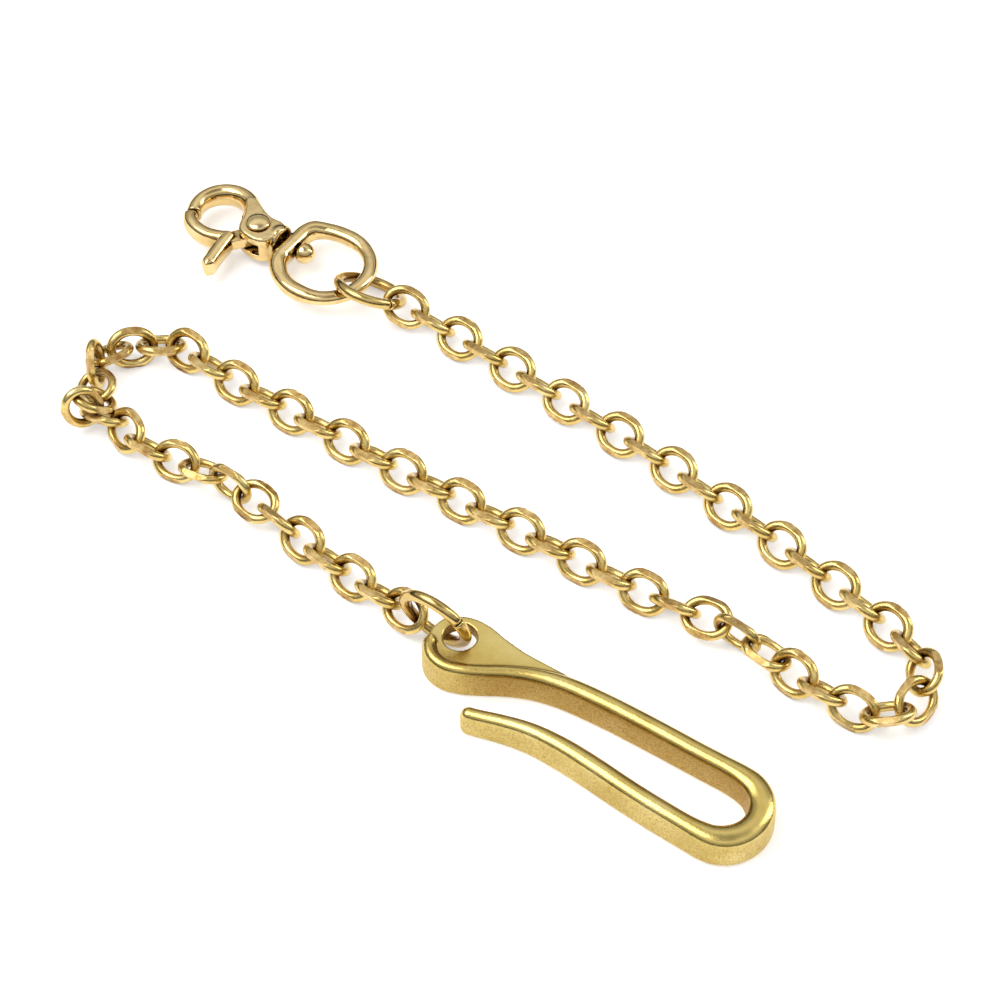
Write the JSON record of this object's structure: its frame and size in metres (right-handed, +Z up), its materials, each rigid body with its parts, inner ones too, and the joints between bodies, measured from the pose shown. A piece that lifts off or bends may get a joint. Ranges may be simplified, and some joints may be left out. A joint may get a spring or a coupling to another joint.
{
  "type": "pocket watch chain",
  "caption": "Pocket watch chain with a flat belt hook at one end, planed oval links, two jump rings and a swivelling lever clasp at the other.",
  "frame": {"origin": "centre of the bounding box of the layout, on the plane it rests on", "axes": "+X along the layout towards the bend of the belt hook, +Z up from the bench"},
  "size_m": [0.2036, 0.095, 0.0163],
  "materials": {
    "chain_brass": "polished, long sides of each link planed flat and scratched",
    "cast_brass": "polished on top, finely pitted cast sides",
    "clasp_brass": "polished with fine scratches",
    "spring_steel": "drawn wire"
  },
  "bodies": {
    "belt_hook": {"belt_hook": "cast_brass"},
    "hook_jump_ring": {"hook_jump_ring": "chain_brass"},
    "link_01": {"link_01": "chain_brass"},
    "link_02_03": {"link_02_03": "chain_brass"},
    "link_04_05": {"link_04_05": "chain_brass"},
    "link_06_07": {"link_06_07": "chain_brass"},
    "link_08_09": {"link_08_09": "chain_brass"},
    "link_10_11": {"link_10_11": "chain_brass"},
    "link_12_13": {"link_12_13": "chain_brass"},
    "link_14_15": {"link_14_15": "chain_brass"},
    "link_16_17": {"link_16_17": "chain_brass"},
    "link_18": {"link_18": "chain_brass"},
    "link_19": {"link_19": "chain_brass"},
    "link_20": {"link_20": "chain_brass"},
    "link_21": {"link_21": "chain_brass"},
    "link_22": {"link_22": "chain_brass"},
    "link_23": {"link_23": "chain_brass"},
    "link_24": {"link_24": "chain_brass"},
    "link_25": {"link_25": "chain_brass"},
    "link_26": {"link_26": "chain_brass"},
    "link_27": {"link_27": "chain_brass"},
    "link_28": {"link_28": "chain_brass"},
    "link_29": {"link_29": "chain_brass"},
    "link_30": {"link_30": "chain_brass"},
    "link_31_32": {"link_31_32": "chain_brass"},
    "link_33_34": {"link_33_34": "chain_brass"},
    "link_35_36": {"link_35_36": "chain_brass"},
    "link_37_38": {"link_37_38": "chain_brass"},
    "link_39_40": {"link_39_40": "chain_brass"},
    "link_41_42": {"link_41_42": "chain_brass"},
    "link_43_44": {"link_43_44": "chain_brass"},
    "link_45_46": {"link_45_46": "chain_brass"},
    "link_47": {"link_47": "chain_brass"},
    "link_48": {"link_48": "chain_brass"},
    "link_49": {"link_49": "chain_brass"},
    "link_50": {"link_50": "chain_brass"},
    "link_51": {"link_51": "chain_brass"},
    "link_52": {"link_52": "chain_brass"},
    "link_53": {"link_53": "chain_brass"},
    "link_54": {"link_54": "chain_brass"},
    "link_55": {"link_55": "chain_brass"},
    "link_56": {"link_56": "chain_brass"},
    "link_57": {"link_57": "chain_brass"},
    "link_58": {"link_58": "chain_brass"},
    "link_59": {"link_59": "chain_brass"},
    "link_60": {"link_60": "chain_brass"},
    "link_61": {"link_61": "chain_brass"},
    "link_62": {"link_62": "chain_brass"},
    "link_63": {"link_63": "chain_brass"},
    "link_64": {"link_64": "chain_brass"},
    "link_65": {"link_65": "chain_brass"},
    "link_66": {"link_66": "chain_brass"},
    "link_67": {"link_67": "chain_brass"},
    "clasp_jump_ring": {"clasp_jump_ring": "chain_brass"},
    "swivel_ring": {"swivel_ring": "clasp_brass"},
    "clasp_body": {"clasp_body": "clasp_brass", "swivel_pin": "clasp_brass", "trigger_rivet": "clasp_brass", "trigger_spring": "spring_steel"},
    "trigger_lever": {"trigger_lever": "clasp_brass"}
  },
  "joints": [
    {"name": "trigger_hinge", "type": "hinge", "parent": "clasp_body", "child": "trigger_lever", "pos_m": [-0.08324, 0.03552, 0.00502], "axis": [0, 0, 1], "range_deg": [0, 30], "stiffness_Nm_per_rad": 0.004, "springref_deg": -5.73},
    {"name": "clasp_swivel", "type": "hinge", "parent": "swivel_ring", "child": "clasp_body", "pos_m": [-0.07494, 0.03632, 0.00502], "axis": [1, 0, 0], "continuous": true},
    {"name": "loop_on_ring", "type": "hinge", "parent": "clasp_jump_ring", "child": "swivel_ring", "pos_m": [-0.05554, 0.03582, 0.00502], "axis": [0, 1, 0], "range_deg": [-15, 7.5]},
    {"name": "ring_on_link_01", "type": "hinge", "parent": "link_01", "child": "clasp_jump_ring", "pos_m": [-0.04829, 0.03548, 0.00556], "axis": [0.0896, 0.7508, 0.6545], "range_deg": [-25, 25]},
    {"name": "ring_in_hook_eye", "type": "hinge", "parent": "belt_hook", "child": "hook_jump_ring", "pos_m": [0.01156, -0.03268, 0.00822], "axis": [0, 0.9781, 0.2079], "range_deg": [-20, 20]},
    {"name": "link_67_in_ring", "type": "hinge", "parent": "hook_jump_ring", "child": "link_67", "pos_m": [0.00838, -0.03262, 0.00506], "axis": [0.0058, 0.6887, 0.725], "range_deg": [-25, 12.5]},
    {"name": "link_66_on_67", "type": "hinge", "parent": "link_67", "child": "link_66", "pos_m": [0.00141, -0.03182, 0.00436], "axis": [0.1536, 0.7158, -0.6812], "range_deg": [-20, 20]},
    {"name": "link_65_on_66", "type": "hinge", "parent": "link_66", "child": "link_65", "pos_m": [-0.00556, -0.03103, 0.00362], "axis": [-0.0711, -0.6796, -0.7302], "range_deg": [-20, 20]},
    {"name": "link_64_on_65", "type": "hinge", "parent": "link_65", "child": "link_64", "pos_m": [-0.01256, -0.03023, 0.00357], "axis": [0.0877, 0.7249, -0.6832], "range_deg": [-20, 20]},
    {"name": "link_63_on_64", "type": "hinge", "parent": "link_64", "child": "link_63", "pos_m": [-0.01958, -0.02946, 0.00349], "axis": [-0.195, -0.6601, -0.7254], "range_deg": [-20, 20]},
    {"name": "link_62_on_63", "type": "hinge", "parent": "link_63", "child": "link_62", "pos_m": [-0.02649, -0.02818, 0.00428], "axis": [0.1316, 0.4606, -0.8778], "range_deg": [-20, 20]},
    {"name": "link_61_on_62", "type": "hinge", "parent": "link_62", "child": "link_61", "pos_m": [-0.03339, -0.02675, 0.004], "axis": [-0.1855, -0.9406, -0.2845], "range_deg": [-20, 20]},
    {"name": "link_60_on_61", "type": "hinge", "parent": "link_61", "child": "link_60", "pos_m": [-0.04031, -0.0255, 0.00452], "axis": [-0.0147, -0.0583, -0.9982], "range_deg": [-20, 7.5]},
    {"name": "link_59_on_60", "type": "hinge", "parent": "link_60", "child": "link_59", "pos_m": [-0.04734, -0.02497, 0.00454], "axis": [0.0186, -0.904, 0.427], "range_deg": [-20, 20]},
    {"name": "link_58_on_59", "type": "hinge", "parent": "link_59", "child": "link_58", "pos_m": [-0.05385, -0.02538, 0.00392], "axis": [0.1394, -0.6534, -0.744], "range_deg": [-20, 20]},
    {"name": "link_57_on_58", "type": "hinge", "parent": "link_58", "child": "link_57", "pos_m": [-0.06082, -0.02634, 0.00345], "axis": [0.1086, -0.7368, 0.6674], "range_deg": [-20, 20]},
    {"name": "link_56_on_57", "type": "hinge", "parent": "link_57", "child": "link_56", "pos_m": [-0.06793, -0.02715, 0.00372], "axis": [-0.305, -0.6637, -0.683], "range_deg": [-20, 20]},
    {"name": "link_55_on_56", "type": "hinge", "parent": "link_56", "child": "link_55", "pos_m": [-0.07433, -0.02381, 0.00342], "axis": [0.0679, -0.7755, 0.6276], "range_deg": [-7.5, 7.5]},
    {"name": "link_54_on_55", "type": "hinge", "parent": "link_55", "child": "link_54", "pos_m": [-0.08082, -0.02617, 0.00245], "axis": [-0.4139, -0.8569, -0.3073], "range_deg": [0, 7.5]},
    {"name": "link_53_on_54", "type": "hinge", "parent": "link_54", "child": "link_53", "pos_m": [-0.08291, -0.02753, 0.00897], "axis": [0.9231, -0.3846, -0.0028], "range_deg": [0, 7.5]},
    {"name": "link_52_on_53", "type": "hinge", "parent": "link_53", "child": "link_52", "pos_m": [-0.08048, -0.02131, 0.00574], "axis": [0.2648, 0.8968, 0.3545], "range_deg": [-7.5, 7.5]},
    {"name": "link_51_on_52", "type": "hinge", "parent": "link_52", "child": "link_51", "pos_m": [-0.08593, -0.0182, 0.00281], "axis": [-0.1148, 0.5695, -0.8139], "range_deg": [-7.5, 7.5]},
    {"name": "link_50_on_51", "type": "hinge", "parent": "link_51", "child": "link_50", "pos_m": [-0.08992, -0.01491, 0.00451], "axis": [0.8666, -0.2469, 0.4336], "range_deg": [-7.5, 7.5]},
    {"name": "link_49_on_50", "type": "hinge", "parent": "link_50", "child": "link_49", "pos_m": [-0.08859, -0.00977, 0.00494], "axis": [0.2213, -0.3846, -0.8961], "range_deg": [-20, 15]},
    {"name": "link_48_on_49", "type": "hinge", "parent": "link_49", "child": "link_48", "pos_m": [-0.08466, -0.00502, 0.00387], "axis": [0.6824, -0.5954, 0.4241], "range_deg": [-20, 20]},
    {"name": "link_47_on_48", "type": "hinge", "parent": "link_48", "child": "link_47", "pos_m": [-0.08019, 0.00017, 0.0039], "axis": [-0.0784, -0.6364, -0.7673], "range_deg": [-20, 20]},
    {"name": "link_46_on_47", "type": "hinge", "parent": "link_47", "child": "link_45_46", "pos_m": [-0.07312, -0.00011, 0.00341], "axis": [-0.1985, -0.7443, 0.6376], "range_deg": [-20, 20]},
    {"name": "link_44_on_45", "type": "hinge", "parent": "link_45_46", "child": "link_43_44", "pos_m": [-0.05671, -0.00183, 0.00345], "axis": [-0.0626, -0.6396, -0.7661], "range_deg": [-20, 20]},
    {"name": "link_42_on_43", "type": "hinge", "parent": "link_43_44", "child": "link_41_42", "pos_m": [-0.04432, -0.00187, 0.00349], "axis": [0.0501, 0.7647, -0.6425], "range_deg": [-20, 20]},
    {"name": "link_40_on_41", "type": "hinge", "parent": "link_41_42", "child": "link_39_40", "pos_m": [-0.02774, -0.00223, 0.00348], "axis": [0.0573, 0.64, 0.7662], "range_deg": [-20, 20]},
    {"name": "link_38_on_39", "type": "hinge", "parent": "link_39_40", "child": "link_37_38", "pos_m": [-0.01536, -0.0021, 0.00351], "axis": [-0.0275, -0.7659, 0.6424], "range_deg": [-20, 20]},
    {"name": "link_36_on_37", "type": "hinge", "parent": "link_37_38", "child": "link_35_36", "pos_m": [0.00122, -0.00202, 0.00349], "axis": [-0.0378, -0.6413, -0.7663], "range_deg": [-20, 20]},
    {"name": "link_34_on_35", "type": "hinge", "parent": "link_35_36", "child": "link_33_34", "pos_m": [0.01361, -0.00175, 0.00351], "axis": [0.0268, 0.7659, -0.6423], "range_deg": [-20, 20]},
    {"name": "link_32_on_33", "type": "hinge", "parent": "link_33_34", "child": "link_31_32", "pos_m": [0.03019, -0.00166, 0.00349], "axis": [0.0369, 0.6414, 0.7663], "range_deg": [-20, 20]},
    {"name": "link_30_on_31", "type": "hinge", "parent": "link_31_32", "child": "link_30", "pos_m": [0.04257, -0.00109, 0.00351], "axis": [-0.0031, -0.6163, 0.7875], "range_deg": [-20, 20]},
    {"name": "link_29_on_30", "type": "hinge", "parent": "link_30", "child": "link_29", "pos_m": [0.04958, -0.00052, 0.00398], "axis": [0.0993, -0.9093, -0.4041], "range_deg": [-20, 20]},
    {"name": "link_28_on_29", "type": "hinge", "parent": "link_29", "child": "link_28", "pos_m": [0.05659, -0.00002, 0.00482], "axis": [0.0588, -0.0635, 0.9963], "range_deg": [-15, 7.5]},
    {"name": "link_27_on_28", "type": "hinge", "parent": "link_28", "child": "link_27", "pos_m": [0.06362, -0.00027, 0.00435], "axis": [-0.0671, -0.9335, 0.3523], "range_deg": [-15, 15]},
    {"name": "link_26_on_27", "type": "hinge", "parent": "link_27", "child": "link_26", "pos_m": [0.07062, -0.00097, 0.00381], "axis": [0.1374, 0.6144, 0.7769], "range_deg": [-15, 15]},
    {"name": "link_25_on_26", "type": "hinge", "parent": "link_26", "child": "link_25", "pos_m": [0.07754, -0.00234, 0.00368], "axis": [-0.2249, -0.7446, 0.6285], "range_deg": [-15, 15]},
    {"name": "link_24_on_25", "type": "hinge", "parent": "link_25", "child": "link_24", "pos_m": [0.08443, -0.00323, 0.0051], "axis": [-0.1674, -0.606, -0.7777], "range_deg": [-15, 15]},
    {"name": "link_23_on_24", "type": "hinge", "parent": "link_24", "child": "link_23", "pos_m": [0.09137, -0.00312, 0.00352], "axis": [0.4152, -0.7588, 0.5019], "range_deg": [-15, 15]},
    {"name": "link_22_on_23", "type": "hinge", "parent": "link_23", "child": "link_22", "pos_m": [0.09785, 0.0006, 0.0038], "axis": [-0.7811, -0.0146, 0.6242], "range_deg": [-15, 7.5]},
    {"name": "link_21_on_22", "type": "hinge", "parent": "link_22", "child": "link_21", "pos_m": [0.09915, 0.00782, 0.00559], "axis": [0.5433, 0.4767, 0.6911], "range_deg": [-15, 15]},
    {"name": "link_20_on_21", "type": "hinge", "parent": "link_21", "child": "link_20", "pos_m": [0.09503, 0.01355, 0.00487], "axis": [-0.4567, -0.5229, 0.7197], "range_deg": [-15, 15]},
    {"name": "link_19_on_20", "type": "hinge", "parent": "link_20", "child": "link_19", "pos_m": [0.08908, 0.01717, 0.00373], "axis": [0.2063, 0.7247, 0.6574], "range_deg": [-15, 15]},
    {"name": "link_18_on_19", "type": "hinge", "parent": "link_19", "child": "link_18", "pos_m": [0.08227, 0.01897, 0.00388], "axis": [-0.2012, -0.6261, 0.7533], "range_deg": [-15, 15]},
    {"name": "link_17_on_18", "type": "hinge", "parent": "link_18", "child": "link_16_17", "pos_m": [0.07545, 0.02074, 0.00354], "axis": [0.1737, 0.7341, 0.6565], "range_deg": [-20, 20]},
    {"name": "link_15_on_16", "type": "hinge", "parent": "link_16_17", "child": "link_14_15", "pos_m": [0.05921, 0.02415, 0.00354], "axis": [-0.1568, -0.6375, 0.7543], "range_deg": [-20, 20]},
    {"name": "link_13_on_14", "type": "hinge", "parent": "link_14_15", "child": "link_12_13", "pos_m": [0.04704, 0.02651, 0.00355], "axis": [-0.135, -0.7428, -0.6558], "range_deg": [-20, 20]},
    {"name": "link_11_on_12", "type": "hinge", "parent": "link_12_13", "child": "link_10_11", "pos_m": [0.03065, 0.0291, 0.00355], "axis": [0.1228, 0.6442, -0.755], "range_deg": [-20, 20]},
    {"name": "link_09_on_10", "type": "hinge", "parent": "link_10_11", "child": "link_08_09", "pos_m": [0.01838, 0.03085, 0.00355], "axis": [0.0973, 0.7493, 0.655], "range_deg": [-20, 20]},
    {"name": "link_07_on_08", "type": "hinge", "parent": "link_08_09", "child": "link_06_07", "pos_m": [0.00188, 0.03259, 0.00354], "axis": [-0.0908, -0.6487, 0.7556], "range_deg": [-20, 20]},
    {"name": "link_05_on_06", "type": "hinge", "parent": "link_06_07", "child": "link_04_05", "pos_m": [-0.01046, 0.03375, 0.00356], "axis": [-0.0864, -0.7507, -0.655], "range_deg": [-20, 20]},
    {"name": "link_03_on_04", "type": "hinge", "parent": "link_04_05", "child": "link_02_03", "pos_m": [-0.02699, 0.03519, 0.0035], "axis": [0.0855, 0.6494, -0.7556], "range_deg": [-20, 20]},
    {"name": "link_01_on_02", "type": "hinge", "parent": "link_02_03", "child": "link_01", "pos_m": [-0.03936, 0.03608, 0.00365], "axis": [0.0896, 0.7508, 0.6545], "range_deg": [-20, 20]}
  ]
}
